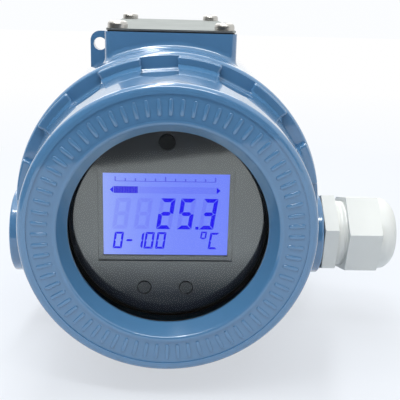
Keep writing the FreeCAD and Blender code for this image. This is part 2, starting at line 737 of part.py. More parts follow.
switches = new_body("key_switches", z=axis_height)
switch_front = f"({board_front} - sizes.switch_height)"
prism(switches, "switch_boxes", "XZ_Plane", switch_front, "sizes.switch_height",
      [centred(x, z, "sizes.switch_side", "sizes.switch_side") for name, x, z, size in keys])
key_end = f"({switch_front} - sizes.key_travel - sizes.slip_gap)"
key_front = f"({bezel_front} - sizes.key_proud)"
flange_at = f"({lcd_front} + sizes.key_gap)"
flange_end = f"({flange_at} + sizes.key_flange_thickness)"
for name, x, z, size in keys:
    key = new_body(name, x=x, z=f"{axis_height} + {z}")
    turned(key, name + "_pin", "YZ_Plane", [
        (key_front, "0"), (key_front, size),
        (flange_at, size), (flange_at, f"{size} + sizes.key_flange"),
        (flange_end, f"{size} + sizes.key_flange"), (flange_end, "sizes.key_stem"),
        (key_end, "sizes.key_stem"), (key_end, "0"),
    ])

# Electronics module on the wall between the compartments, its screws and the feedthrough
module = new_body("electronics_module", z=axis_height)
register = f"({board_radius} - sizes.slip_gap)"
head_seat = f"({module_front} + sizes.module_screw_height + sizes.seat_gap)"
register_front = f"({module_front} - sizes.register_height)"
turned(module, "module_can", "YZ_Plane", [
    (register_front, "0"), (register_front, register), (module_front, register),
    (module_front, module_radius), (wall_front, module_radius), (wall_front, "0"),
])
well_mouth = f"({register_front} - sizes.overcut)"
prism(module, "head_wells", "XZ_Plane", well_mouth, f"{head_seat} - {well_mouth}",
      circles=[(x, z, "sizes.module_screw_head + sizes.slip_gap") for x, z in module_spots], cut=True)
prism(module, "shank_holes", "XZ_Plane", module_front, f"{wall_front} - {module_front}",
      circles=[(x, z, "sizes.module_screw_shank + sizes.slip_gap") for x, z in module_spots], cut=True)
module_screws = new_body("module_screws", z=axis_height)
head_front = f"({head_seat} - sizes.module_screw_height)"
prism(module_screws, "module_shanks", "XZ_Plane", f"{head_seat} - sizes.overlap",
      f"{wall_front} + sizes.module_screw_depth - {head_seat} + sizes.overlap",
      circles=[(x, z, "sizes.module_screw_shank") for x, z in module_spots])
prism(module_screws, "module_heads", "XZ_Plane", head_front, "sizes.module_screw_height",
      circles=[(x, z, "sizes.module_screw_head") for x, z in module_spots])
feed = new_body("feedthrough", z=f"{axis_height} + sizes.block_lift")
feed_end = f"({wall_back} + sizes.feed_flange_thickness)"
feed_outer = "(sizes.feed_radius + sizes.feed_flange)"
turned(feed, "feed_bush", "YZ_Plane", [
    (wall_front, "0"), (wall_front, "sizes.feed_radius"), (wall_back, "sizes.feed_radius"),
    (wall_back, feed_outer), (feed_end, feed_outer), (feed_end, "0"),
])
sides = ("sizes.feed_pin_spread", "-sizes.feed_pin_spread")
prism(feed, "feed_pins", "XZ_Plane", f"{feed_end} - sizes.overlap", "sizes.feed_pin_length + sizes.overlap",
      circles=[(x, z, "sizes.feed_pin") for x in sides for z in sides])

# Terminal block with ribs and ears, its screws, clamp plates and terminal screws
block = new_body("terminal_block", z=f"{axis_height} + sizes.block_lift")
prism(block, "block_base", "XZ_Plane", post_end, "sizes.block_thickness",
      [centred("0", "0", f"2 * {block_half}", "sizes.block_height")])
prism(block, "block_ears", "XZ_Plane", post_end, "sizes.block_ear_thickness",
      [centred("0", "0", f"2 * ({block_half} + sizes.block_ear)", "sizes.block_ear_height")])
rib_spots = [f"{k} * sizes.terminal_pitch" if k else "0" for k in range(-3, 4)]
prism(block, "block_ribs", "XZ_Plane", f"{block_back} - sizes.overlap", "sizes.rib_height + sizes.overlap",
      [centred(x, "0", "sizes.rib_thickness", "sizes.block_height") for x in rib_spots])
terminals = [f"{k} * sizes.terminal_pitch" for k in (-2.5, -1.5, -0.5, 0.5, 1.5, 2.5)]
terminal_deep = "(sizes.terminal_depth + sizes.overcut)"
prism(block, "terminal_holes", "XZ_Plane", f"{block_back} - {terminal_deep}", terminal_deep,
      circles=[(x, "0", "sizes.terminal_shank + sizes.tap_gap") for x in terminals], cut=True)
ear_hole = "sizes.block_screw_shank + sizes.slip_gap"
prism(block, "ear_holes", "XZ_Plane", post_end, "sizes.block_ear_thickness",
      circles=[(x, "0", ear_hole) for x in (post_x, f"-{post_x}")], cut=True)
clamps = new_body("terminal_clamps", z=f"{axis_height} + sizes.block_lift")
clamp_width = "(sizes.terminal_pitch - sizes.rib_thickness - 2 * sizes.slip_gap)"
prism(clamps, "clamp_plates", "XZ_Plane", block_back, "sizes.clamp_thickness",
      [centred(x, "0", clamp_width, "sizes.clamp_height") for x in terminals])
prism(clamps, "clamp_holes", "XZ_Plane", block_back, "sizes.clamp_thickness",
      circles=[(x, "0", "sizes.terminal_shank + sizes.slip_gap") for x in terminals], cut=True)


def screws_along_y(label, spots, seat, head, height, shank, depth):
    body = new_body(label, z=axis_height)
    prism(body, label + "_shanks", "XZ_Plane", f"{seat} - {depth}", f"{depth} + {height} / 2",
          circles=[(x, z, shank) for x, z in spots])
    prism(body, label + "_heads", "XZ_Plane", seat, height, circles=[(x, z, head) for x, z in spots])
    slot_floor = f"{seat} + {height} - sizes.slot_depth"
    slot_length = f"2 * {head} + sizes.overcut"
    prism(body, label + "_slots", "XZ_Plane", slot_floor, "sizes.slot_depth + sizes.overcut",
          [centred(x, z, slot_length, "sizes.slot_width") for x, z in spots], cut=True)
    return body


screws_along_y("terminal_screws", [(x, "sizes.block_lift") for x in terminals],
               f"({block_back} + sizes.clamp_thickness)",
               "sizes.terminal_head", "sizes.terminal_head_height",
               "sizes.terminal_shank", "sizes.terminal_depth")
screws_along_y("block_screws", posts, f"({post_end} + sizes.block_ear_thickness)",
               "sizes.block_screw_head", "sizes.block_screw_height", "sizes.block_screw_shank",
               "(sizes.block_screw_depth + sizes.block_ear_thickness)")
screws_along_y("inner_earth_screw", [("0", "-sizes.inner_earth_drop")],
               f"({wall_back} + sizes.inner_earth_rise)",
               "sizes.earth_head", "sizes.earth_height", "sizes.earth_shank", "sizes.earth_depth")

# Outer earth screw with its washer
earth_place = {"x": outer_earth_x, "y": outer_earth_y, "z": f"{axis_height} + {outer_earth_z}"}
washer = new_body("earth_washer", **earth_place)
turned(washer, "washer_ring", "XZ_Plane",
       box("0", "sizes.washer_thickness", "sizes.earth_shank + sizes.slip_gap", "sizes.washer_radius"))
earth = new_body("earth_screw", **earth_place)
earth_top = "(sizes.washer_thickness + sizes.earth_height)"
turned(earth, "earth_pin", "XZ_Plane", [
    ("-sizes.earth_depth", "0"), ("-sizes.earth_depth", "sizes.earth_shank"),
    ("sizes.washer_thickness", "sizes.earth_shank"), ("sizes.washer_thickness", "sizes.earth_head"),
    (earth_top, "sizes.earth_head"), (earth_top, "0"),
])
prism(earth, "earth_slot", "YZ_Plane", f"{earth_top} - sizes.slot_depth", "sizes.slot_depth",
      [centred("0", "0", "2 * sizes.earth_head + sizes.overcut", "sizes.slot_width")], cut=True)

# Nameplate on its backing, with four screws
backing = new_body("nameplate_backing", y=pad_middle, z=f"{axis_height} + {pad_top}")
plate = new_body("nameplate", y=pad_middle, z=f"{axis_height} + {plate_under}")
flat_spots = [(f"{a}{plate_x}", f"{b}{plate_y}") for a in ("", "-") for b in ("", "-")]
for body, label, inset, thickness in (
    (backing, "backing_sheet", "sizes.backing_inset", "sizes.backing_thickness"),
    (plate, "plate_sheet", "0", "sizes.plate_thickness"),
):
    width = f"(sizes.pad_width - 2 * (sizes.plate_inset + {inset}))"
    length = f"({pad_length} - 2 * (sizes.plate_inset + {inset}))"
    prism(body, label, "XY_Plane", "0", thickness, [centred("0", "0", width, length)])
    rounded(body, label + "_corners", "sizes.plate_corner",
            lambda edge: abs(edge.tangentAt(edge.FirstParameter).z) > 0.99)
    prism(body, label + "_holes", "XY_Plane", "0", thickness,
          circles=[(x, y, "sizes.plate_screw_shank + sizes.slip_gap") for x, y in flat_spots], cut=True)
plate_screws = new_body("nameplate_screws", y=pad_middle, z=f"{axis_height} + {plate_top}")
prism(plate_screws, "plate_shanks", "XY_Plane", "-sizes.plate_screw_depth",
      "sizes.plate_screw_depth + sizes.plate_screw_height / 2",
      circles=[(x, y, "sizes.plate_screw_shank") for x, y in flat_spots])
prism(plate_screws, "plate_heads", "XY_Plane", "0", "sizes.plate_screw_height",
      circles=[(x, y, "sizes.plate_screw_head") for x, y in flat_spots])
rounded(plate_screws, "head_domes", "sizes.plate_screw_round",
        ring_at("z", ("sizes.plate_screw_height", "sizes.plate_screw_head")))
cross_floor = "sizes.plate_screw_height - sizes.cross_depth"
for label, width, height in (
    ("cross_slots", "sizes.cross_length", "sizes.cross_width"),
    ("cross_uprights", "sizes.cross_width", "sizes.cross_length"),
):
    prism(plate_screws, label, "XY_Plane", cross_floor, "sizes.cross_depth",
          [centred(x, y, width, height) for x, y in flat_spots], cut=True)

# Plug of the left entry
plug = new_body("entry_plug", y=conduit_y, z=f"{axis_height} + {conduit_z}")
plug_left = f"(-{boss_reach} + sizes.plug_inset)"
prism(plug, "plug_pin", "YZ_Plane", plug_left, "sizes.plug_length",
      circles=[("0", "0", "sizes.entry_radius - sizes.slip_gap / 2")])
prism(plug, "plug_hexagon", "YZ_Plane", plug_left, "sizes.plug_socket_depth",
      [hexagon("sizes.plug_socket / 2")], cut=True)

# Cable gland: washer, body, clamping ring, seal and cap
gland_place = {"y": conduit_y, "z": f"{axis_height} + {conduit_z}"}
gland_hole = "(sizes.cable_radius + sizes.slip_gap * 4)"
thread_outer = "(sizes.entry_radius - sizes.slip_gap / 2)"
gland_washer = new_body("gland_washer", **gland_place)
washer_outer = f"({thread_outer} + sizes.gland_washer_width)"
turned(gland_washer, "washer_band", "XZ_Plane",
       box(boss_reach, gland_face, f"{thread_outer} + sizes.slip_gap", washer_outer))


def bevelled(body, label, start, end):
    corner = f"({gland_flat} / cos(30))"
    for side, station, sign in (("near", start, "+"), ("far", end, "-")):
        outside = "-" if sign == "+" else "+"
        turned(body, label + side, "XZ_Plane", [
            (f"{station} {outside} sizes.slip_gap", f"{corner} - sizes.gland_hex_bevel"),
            (f"{station} {sign} sizes.gland_hex_bevel * tan(30)", f"{corner} + sizes.slip_gap"),
            (f"{station} {outside} sizes.slip_gap", f"{corner} + sizes.slip_gap"),
        ], cut=True)


gland_body = new_body("gland_body", **gland_place)
prism(gland_body, "gland_hexagon", "YZ_Plane", gland_face, "sizes.gland_hex_length",
      [hexagon(gland_flat)], turn="60 - sizes.gland_hex_turn")
bevelled(gland_body, "gland_bevel", gland_face, gland_step)
thread_start = f"({gland_face} - sizes.gland_thread_length)"
turned(gland_body, "gland_thread", "XZ_Plane", [
    (thread_start, "0"), (thread_start, thread_outer),
    (f"{gland_face} + sizes.overlap", thread_outer), (f"{gland_face} + sizes.overlap", gland_neck),
    (gland_neck_end, gland_neck), (gland_neck_end, "0"),
])
seal_start = f"({gland_step} + sizes.gland_seal_inset)"
turned(gland_body, "gland_through", "XZ_Plane", [
    (f"{thread_start} - sizes.overcut", "0"), (f"{thread_start} - sizes.overcut", gland_hole),
    (f"{seal_start} - sizes.slip_gap", gland_hole), (f"{seal_start} - sizes.slip_gap", gland_bore),
    (f"{gland_neck_end} + sizes.overcut", gland_bore), (f"{gland_neck_end} + sizes.overcut", "0"),
], cut=True)
claw = new_body("gland_claw", **gland_place)
claw_outer = f"({gland_bore} + sizes.claw_wall)"
turned(claw, "claw_ring", "XZ_Plane", [
    (claw_root, gland_bore), (claw_tip, gland_bore), (claw_tip, f"{gland_bore} + sizes.claw_wall / 2"),
    (f"{claw_root} + sizes.claw_base", claw_outer), (claw_root, claw_outer),
])
slit_outline = box(f"{gland_bore} - sizes.overcut", f"{claw_outer} + sizes.overcut",
                   "-sizes.claw_slit / 2", "sizes.claw_slit / 2")
slit = prism(claw, "claw_slit", "YZ_Plane", f"{claw_root} + sizes.claw_base",
             "sizes.claw_finger + sizes.overcut", [slit_outline], cut=True)
around(claw, "claw_slits", slit, "X_Axis", "sizes.claw_count")
gland_seal = new_body("gland_seal", **gland_place)
turned(gland_seal, "seal_tube", "XZ_Plane",
       box(seal_start, f"{gland_lip_start} - sizes.slip_gap * 2", "sizes.cable_radius", gland_seal_outer))
gland_cap = new_body("gland_cap", **gland_place)
mouth = "(sizes.cable_radius + sizes.gland_mouth_gap)"
prism(gland_cap, "cap_hexagon", "YZ_Plane", gland_cap_start, "sizes.gland_cap_hex",
      [hexagon(gland_flat)], turn="60 - sizes.gland_cap_turn")
bevelled(gland_cap, "cap_bevel", gland_cap_start, gland_dome_start)
turned(gland_cap, "cap_dome", "XZ_Plane",
       box(f"{gland_cap_start} + sizes.overlap", gland_end, "0", gland_flat))
rounded(gland_cap, "dome_edge", "sizes.gland_dome_round", ring_at("x", (gland_end, gland_flat)))
turned(gland_cap, "cap_inside", "XZ_Plane", [
    (f"{gland_cap_start} - sizes.overcut", "0"), (f"{gland_cap_start} - sizes.overcut", gland_cap_bore),
    (f"{claw_root} + sizes.claw_base", gland_cap_bore),
    (gland_lip_start, f"{gland_seal_outer} + sizes.seat_gap"), (gland_lip_start, mouth),
    (f"{gland_end} + sizes.overcut", mouth), (f"{gland_end} + sizes.overcut", "0"),
], cut=True)

doc.recompute()
os.makedirs("parts", exist_ok=True)
bodies = [item for item in doc.Objects if item.TypeId == "PartDesign::Body"]
for item in doc.Objects:
    if "Invalid" in item.State or "Error" in item.State:
        raise RuntimeError(f"{item.Label} did not build")
for body in bodies:
    if body.Shape.isNull() or not body.Shape.isValid():
        raise RuntimeError(f"{body.Label} has no sound shape")
    body.Shape.exportStep(f"parts/{body.Label}.step")
    print(body.Label, len(body.Shape.Solids), round(body.Shape.Volume / 1000, 2))
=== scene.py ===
import math

import bpy
import numpy as np
from mathutils import Matrix, Vector


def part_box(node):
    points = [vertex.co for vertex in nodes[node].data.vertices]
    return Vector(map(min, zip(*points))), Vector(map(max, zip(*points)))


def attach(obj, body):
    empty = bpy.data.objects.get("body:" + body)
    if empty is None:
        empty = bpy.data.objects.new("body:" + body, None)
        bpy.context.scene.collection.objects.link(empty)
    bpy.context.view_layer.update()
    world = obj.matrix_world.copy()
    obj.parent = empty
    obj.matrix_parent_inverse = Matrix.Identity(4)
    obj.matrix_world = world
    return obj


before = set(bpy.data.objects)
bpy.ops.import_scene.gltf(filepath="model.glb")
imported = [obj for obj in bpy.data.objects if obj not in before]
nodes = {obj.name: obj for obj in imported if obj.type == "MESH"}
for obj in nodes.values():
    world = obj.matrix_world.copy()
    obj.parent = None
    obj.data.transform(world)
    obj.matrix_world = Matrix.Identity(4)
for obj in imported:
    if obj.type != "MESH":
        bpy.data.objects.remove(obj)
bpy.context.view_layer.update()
mm = 0.001
coverLow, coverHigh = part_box("front_cover")
coverAxis = (coverLow + coverHigh) / 2  # on the axis of both covers
capLow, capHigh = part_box("gland_cap")
glandAxis = (capLow + capHigh) / 2
print("frame loaded:", len(nodes), "nodes")


# A wire is one socket in a node tree. Sums and products of wires add Math nodes.
class Wire:
    def __init__(self, tree, socket=None):
        self.tree = tree
        self.socket = socket

    # any node: its type, its settings, then the values or wires of its inputs by name or place
    def node(self, kind, settings=(), inputs=(), out=0):
        made = self.tree.nodes.new(kind)
        for name, choice in dict(settings).items():
            setattr(made, name, choice)
        for name, source in dict(inputs).items():
            if isinstance(source, Wire):
                self.tree.links.new(source.socket, made.inputs[name])
            else:
                made.inputs[name].default_value = source
        return Wire(self.tree, made.outputs[out] if len(made.outputs) else None)

    def math(self, operation, *terms):
        return self.node("ShaderNodeMath", {"operation": operation}, dict(enumerate(terms)))

    def __add__(self, other):
        return self.math("ADD", self, other)

    def __radd__(self, other):
        return self.math("ADD", other, self)

    def __sub__(self, other):
        return self.math("SUBTRACT", self, other)

    def __rsub__(self, other):
        return self.math("SUBTRACT", other, self)

    def __mul__(self, other):
        return self.math("MULTIPLY", self, other)

    def __rmul__(self, other):
        return self.math("MULTIPLY", other, self)

    def __truediv__(self, other):
        return self.math("DIVIDE", self, other)

    def __rtruediv__(self, other):
        return self.math("DIVIDE", other, self)

    def __pow__(self, other):
        return self.math("POWER", self, other)

    def __rpow__(self, other):
        return self.math("POWER", other, self)

    def within(self, low, high):
        return self.node("ShaderNodeMapRange", {"clamp": True}, {0: self, 1: low, 2: high, 3: 0.0, 4: 1.0})

    def larger(self, other):
        return self.math("MAXIMUM", self, other)

    def tint(self, first, second):
        return self.node("ShaderNodeMix", {"data_type": "RGBA"}, {0: self, 6: first, 7: second}, 2)

    def relief(self, depth, strength=1.0):
        return self.node("ShaderNodeBump", {}, {"Strength": strength, "Distance": depth, "Height": self})

    def blend(self, first, second):
        return self.node("ShaderNodeMixShader", {}, {0: self, 1: first, 2: second})

    # rays by which the camera sees a thing, straight, mirrored or through glass
    def seen(self):
        camera, glossy, through = (self.node("ShaderNodeLightPath", out=way) for way in (0, 3, 6))
        return camera.larger(glossy.larger(through))


class Finish:
    def __init__(self, name):
        self.material = bpy.data.materials.new(name)
        self.material.use_nodes = True
        tree = self.material.node_tree
        tree.nodes.clear()
        self.wire = Wire(tree)
        self.spot = self.wire.node("ShaderNodeTexCoord", out=3)

    # noise whose grains are about this many metres across
    def grain(self, size, detail=2.0, stretch=(1, 1, 1), turn=(0, 0, 0)):
        spot = self.spot
        if stretch != (1, 1, 1) or turn != (0, 0, 0):
            spot = self.wire.node("ShaderNodeMapping", {}, {"Vector": spot, "Scale": stretch, "Rotation": turn})
        return self.wire.node("ShaderNodeTexNoise", {}, {"Vector": spot, "Scale": 0.5 / size, "Detail": detail})

    # soft patches from 0 to 1
    def cloud(self, size, low=0.3, high=0.7):
        return self.grain(size, 3).within(low, high)

    def specks(self, size):
        return self.wire.node("ShaderNodeTexVoronoi", {}, {"Vector": self.spot, "Scale": 1 / size})

    def place(self, axis):
        return self.wire.node("ShaderNodeSeparateXYZ", {}, {0: self.spot}, axis)

    def principled(self, **inputs):
        named = {name.replace("_", " "): source for name, source in inputs.items()}
        return self.wire.node("ShaderNodeBsdfPrincipled", {}, named)

    def close(self, shader):
        self.wire.node("ShaderNodeOutputMaterial", {}, {"Surface": shader})
        return self.material


def rgb(red, green, blue):
    return (red, green, blue, 1.0)


def dress(material, *names):
    for name in names:
        slots = nodes[name].data.materials
        slots.clear()
        slots.append(material)


# Enamel of the casting and covers
enamel = {
    "blue": rgb(0.076, 0.203, 0.374),
    "shade": rgb(0.068, 0.187, 0.352),
    "dust": rgb(0.15, 0.26, 0.41),
    "cloud": 24 * mm,
    "speck": 2.6 * mm,
    "speckEdge": (0.02, 0.09),
    "speckShare": 0.2,
    "rough": (0.15, 0.26),
    "roughPatch": 6 * mm,
    "peel": 1.1 * mm,
    "peelDepth": 0.03 * mm,
    "peelShare": 0.5,
    "coat": 1.62,
    "coatRough": 0.04,
}


def enamelFinish(name):
    paint = Finish(name)
    speck = 1 - paint.specks(enamel["speck"]).within(*enamel["speckEdge"])
    blue = paint.cloud(enamel["cloud"]).tint(enamel["blue"], enamel["shade"])
    low, high = enamel["rough"]
    peel = paint.grain(enamel["peel"], 1.5)
    shader = paint.principled(
        Base_Color=(speck * enamel["speckShare"]).tint(blue, enamel["dust"]),
        Roughness=low + (high - low) * paint.grain(enamel["roughPatch"], 3),
        Normal=peel.relief(enamel["peelDepth"], enamel["peelShare"]),
        Coat_Weight=1.0,
        Coat_IOR=enamel["coat"],
        Coat_Roughness=enamel["coatRough"],
    )
    return paint.close(shader)


bluePaint = enamelFinish("blueEnamel")
dress(bluePaint, "housing", "front_cover", "rear_cover")


# Moulded plastics and rubbers: colour with a soft cloud, grain as bump, uneven gloss
mouldLook = {"cloud": 9 * mm, "patch": 5, "relief": 0.6}  # gloss patches are so many grains wide


def mouldedFinish(name, look):
    skin = Finish(name)
    low, high = look["rough"]
    shader = skin.principled(
        Base_Color=skin.cloud(mouldLook["cloud"]).tint(look["colour"], look["shade"]),
        Roughness=low + (high - low) * skin.grain(look["grain"] * mouldLook["patch"], 2),
        Normal=skin.grain(look["grain"], 2).relief(look["depth"], mouldLook["relief"]),
    )
    return skin.close(shader)


mouldings = {
    "sealRubber": {
        "colour": rgb(0.016, 0.016, 0.017), "shade": rgb(0.026, 0.026, 0.027),
        "rough": (0.55, 0.8), "grain": 0.3 * mm, "depth": 0.02 * mm,
        "nodes": ("front_seal", "rear_seal", "window_gasket", "nameplate_backing", "gland_washer", "gland_seal"),
    },
    "ringBlack": {
        "colour": rgb(0.010, 0.010, 0.011), "shade": rgb(0.016, 0.016, 0.018),
        "rough": (0.45, 0.6), "grain": 0.3 * mm, "depth": 0.01 * mm,
        "nodes": ("glass_ring",),
    },
    "moduleBlack": {
        "colour": rgb(0.018, 0.018, 0.020), "shade": rgb(0.028, 0.028, 0.031),
        "rough": (0.4, 0.6), "grain": 0.35 * mm, "depth": 0.02 * mm,
        "nodes": ("electronics_module", "key_switches"),
    },
    "terminalGrey": {
        "colour": rgb(0.055, 0.062, 0.070), "shade": rgb(0.045, 0.050, 0.058),
        "rough": (0.4, 0.55), "grain": 0.3 * mm, "depth": 0.015 * mm,
        "nodes": ("terminal_block",),
    },
    "lightBoxMilk": {
        "colour": rgb(0.72, 0.74, 0.78), "shade": rgb(0.66, 0.69, 0.74),
        "rough": (0.3, 0.45), "grain": 0.4 * mm, "depth": 0.01 * mm,
        "nodes": ("light_box",),
    },
    "glandNylon": {
        "colour": rgb(0.70, 0.718, 0.69), "shade": rgb(0.665, 0.682, 0.657),
        "rough": (0.26, 0.40), "grain": 0.5 * mm, "depth": 0.012 * mm,
        "nodes": ("gland_body", "gland_claw", "gland_cap"),
    },
}
mouldedMaterials = {}
for name, look in mouldings.items():
    mouldedMaterials[name] = mouldedFinish(name, look)
    dress(mouldedMaterials[name], *look["nodes"])
print("paint and mouldings done")

# Display front and keys: dark plastic under a glossy skin that mirrors the room, partly silky; the skin thins out
# towards the bottom, a painted shade
frontLook = {
    "cloud": 9 * mm,
    "grain": 0.3 * mm,
    "grainDepth": 0.001 * mm,
    "grainShare": 0.15,
    "sheen": 0.15,
    "glossy": 0.06,
    "silky": 0.3,
    "silkyShare": 0.2,
    # painted shade: span below the cover's axis over which the glossy skin thins out, darkening the lower front
    "fade": (9 * mm, 24 * mm),  # below the cover's axis
    "paintedShadeShare": 0.95,
    "smear": 4 * mm,
    "smearShare": 0.08,
}
frontPieces = {
    "bezel": {
        "colour": rgb(0.014, 0.018, 0.030), "shade": rgb(0.011, 0.015, 0.026), "skin": 2.65, "rough": (0.30, 0.42),
        "nodes": ("display_bezel",),
    },
    "keys": {
        "colour": rgb(0.013, 0.016, 0.024), "shade": rgb(0.010, 0.013, 0.020), "skin": 2.5, "rough": (0.30, 0.45),
        "nodes": ("left_key", "right_key"),
    },
    "topKey": {
        "colour": rgb(0.008, 0.009, 0.011), "shade": rgb(0.006, 0.007, 0.009), "skin": 1.7, "rough": (0.30, 0.45),
        "nodes": ("top_key",),
    },
}


def frontFinish(name, look):
    front = Finish(name)
    low, high = look["rough"]
    fine = front.grain(frontLook["grain"], 2)
    # painted shade: less gloss below the cover's axis, so the lower bezel and keys reflect less and look darker
    fade = (coverAxis.z - front.place(2)).within(*frontLook["fade"])
    smear = front.grain(frontLook["smear"], 2)
    shared = {
        "Base_Color": front.cloud(frontLook["cloud"]).tint(look["colour"], look["shade"]),
        "Roughness": low + (high - low) * fine,
        "Specular_IOR_Level": frontLook["sheen"],
        "Normal": fine.relief(frontLook["grainDepth"], frontLook["grainShare"]),
        "Coat_Weight": 1 - frontLook["paintedShadeShare"] * fade + frontLook["smearShare"] * smear,
        "Coat_IOR": look["skin"],
    }
    glossy, silky = (front.principled(**shared, Coat_Roughness=frontLook[kind]) for kind in ("glossy", "silky"))
    skin = front.wire.node("ShaderNodeMixShader", {}, {0: frontLook["silkyShare"], 1: glossy, 2: silky})
    return front.close(skin)


for name, look in frontPieces.items():
    dress(frontFinish(name, look), *look["nodes"])

# Metals: fine lines drawn along one direction, with patches of shade; edge is the colour of a glancing look
metalLook = {"patch": 5 * mm, "patchEdge": (0.3, 0.75), "relief": 0.5}
metals = {
    "plateSteel": {
        "colour": rgb(0.40, 0.415, 0.408), "shade": rgb(0.34, 0.355, 0.348), "rough": (0.40, 0.54),
        "line": 0.12 * mm, "stretch": (0.02, 1, 1), "depth": 0.006 * mm, "edge": rgb(0.40, 0.42, 0.41),
        "nodes": ("nameplate",),
    },
    "screwSteel": {
        "colour": rgb(0.60, 0.585, 0.55), "shade": rgb(0.48, 0.465, 0.43), "rough": (0.28, 0.44),
        "line": 0.25 * mm, "stretch": (1, 1, 1), "depth": 0.008 * mm, "edge": rgb(1, 1, 1),
        "nodes": ("nameplate_screws", "module_screws", "block_screws", "terminal_screws", "inner_earth_screw",
                  "earth_washer", "earth_screw", "entry_plug"),
    },
    "clampBrass": {
        "colour": rgb(0.62, 0.46, 0.20), "shade": rgb(0.48, 0.35, 0.15), "rough": (0.22, 0.4),
        "line": 0.2 * mm, "stretch": (1, 0.1, 1), "depth": 0.006 * mm, "edge": rgb(1, 1, 1),
        "nodes": ("terminal_clamps", "feedthrough"),
    },
}


def metalFinish(name, look):
    metal = Finish(name)
    lines = metal.grain(look["line"], 2, look["stretch"])
    low, high = look["rough"]
    shader = metal.principled(
        Base_Color=metal.cloud(metalLook["patch"], *metalLook["patchEdge"]).tint(look["colour"], look["shade"]),
        Metallic=1.0,
        Roughness=low + (high - low) * lines,
        Specular_Tint=look["edge"],
        Normal=lines.relief(look["depth"], metalLook["relief"]),
    )
    return metal.close(shader)


for name, look in metals.items():
    dress(metalFinish(name, look), *look["nodes"])

# Circuit board: green mask over faint copper areas
boardLook = {
    "mask": rgb(0.015, 0.10, 0.04),
    "copper": rgb(0.03, 0.16, 0.06),
    "pitch": 3 * mm,
    "edge": (0.3, 0.36),
    "step": 0.03 * mm,
    "rough": (0.25, 0.40),
    "roughPatch": 2 * mm,
}


def boardFinish():
    board = Finish("boardMask")
    areas = board.specks(boardLook["pitch"]).within(*boardLook["edge"])
    low, high = boardLook["rough"]
    shader = board.principled(
        Base_Color=areas.tint(boardLook["mask"], boardLook["copper"]),
        Roughness=low + (high - low) * board.grain(boardLook["roughPatch"]),
        Normal=areas.relief(boardLook["step"], 0.5),
    )
    return board.close(shader)


dress(boardFinish(), "display_board")
print("metals and board done")

# Window glass: clear for lamps, faint wipe marks in the gloss
glassLook = {
    "tint": rgb(0.965, 0.973, 0.99),
    "wiped": rgb(0.955, 0.963, 0.98),
    "straight": rgb(0.93, 0.95, 0.94),
    "wipe": 14 * mm,
    "wipeStretch": (1, 1, 0.35),
    "wipeTurn": (0, 0.5, 0),
    "wipeEdge": (0.45, 0.8),
    "rough": (0.0, 0.008),
    "index": 1.14,
    "mirror": 0.12,
}


def glassFinish():
    glass = Finish("windowGlass")
    low, high = glassLook["rough"]
    marks = glass.grain(glassLook["wipe"], 4, glassLook["wipeStretch"], glassLook["wipeTurn"])
    wipe = marks.within(*glassLook["wipeEdge"])
    clear = glass.principled(
        Base_Color=wipe.tint(glassLook["tint"], glassLook["wiped"]),
        Roughness=low + (high - low) * wipe,
        IOR=glassLook["index"],
        Specular_IOR_Level=glassLook["mirror"],
        Transmission_Weight=1.0,
    )
    shadow, diffuse, glossy = (glass.wire.node("ShaderNodeLightPath", out=way) for way in (1, 2, 3))
    straight = glass.wire.node("ShaderNodeBsdfTransparent", {}, {"Color": glassLook["straight"]})
    return glass.close(shadow.larger(diffuse.larger(glossy)).blend(clear, straight))


dress(glassFinish(), "window_glass")

# Lit display panel, brighter towards its left edge
lcdLook = {
    "middle": rgb(0.172, 0.238, 0.98),
    "edge": rgb(0.37, 0.47, 1.0),
    "edgeShare": 0.8,
    "edgePower": 3,
    "cellShare": 0.1,
    "base": rgb(0.02, 0.02, 0.06),
    "baseCell": rgb(0.03, 0.03, 0.08),
    "cell": 0.35 * mm,
    "rough": (0.2, 0.3),
    "sheen": 0.1,
}
lcdLow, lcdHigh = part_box("lcd_panel")


# the panel's own light, also behind its figures
def panelGlow(panel, cells):
    across = panel.place(0).within(lcdLow.x, lcdHigh.x)
    edge = (1 - across) ** lcdLook["edgePower"] * lcdLook["edgeShare"]
    return (edge + lcdLook["cellShare"] * cells).tint(lcdLook["middle"], lcdLook["edge"])


def lcdFinish():
    panel = Finish("lcdPanel")
    cells = panel.grain(lcdLook["cell"], 1)
    low, high = lcdLook["rough"]
    shader = panel.principled(
        Base_Color=cells.tint(lcdLook["base"], lcdLook["baseCell"]),
        Roughness=low + (high - low) * cells,
        Specular_IOR_Level=lcdLook["sheen"],
        Emission_Color=panelGlow(panel, cells),
        Emission_Strength=1.0,
    )
    return panel.close(shader)


dress(lcdFinish(), "lcd_panel")
nodes["lcd_panel"].visible_diffuse = False  # its light goes straight ahead
nodes["lcd_panel"].visible_glossy = False
print("glass and display done")


# Faces of a grid of points, each side closed on itself where asked
def gridFaces(rows, columns, closeRows=False, closeColumns=False):
    row = np.arange(rows if closeRows else rows - 1)[:, None]
    column = np.arange(columns if closeColumns else columns - 1)[None, :]
    nextRow, nextColumn = (row + 1) % rows, (column + 1) % columns
    corners = (row * columns + column, nextRow * columns + column,
               nextRow * columns + nextColumn, row * columns + nextColumn)
    return np.stack(np.broadcast_arrays(*corners), -1).reshape(-1, 4)


# Six times the volume inside closed quads: negative where they face inwards
def insideOut(points, quads):
    a, b, c, d = (points[quads[:, k]] for k in range(4))
    volume = np.einsum("ij,ij", a, np.cross(b, c)) + np.einsum("ij,ij", a, np.cross(c, d))
    return volume < 0


def addPiece(name, points, faces, material, body, smooth=False):
    mesh = bpy.data.meshes.new(name)
    mesh.from_pydata(points.tolist(), [], faces)
    mesh.validate()
    mesh.polygons.foreach_set("use_smooth", np.full(len(mesh.polygons), smooth))
    mesh.materials.append(material)
    piece = bpy.data.objects.new(name, mesh)
    bpy.context.scene.collection.objects.link(piece)
    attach(piece, body)
    return piece


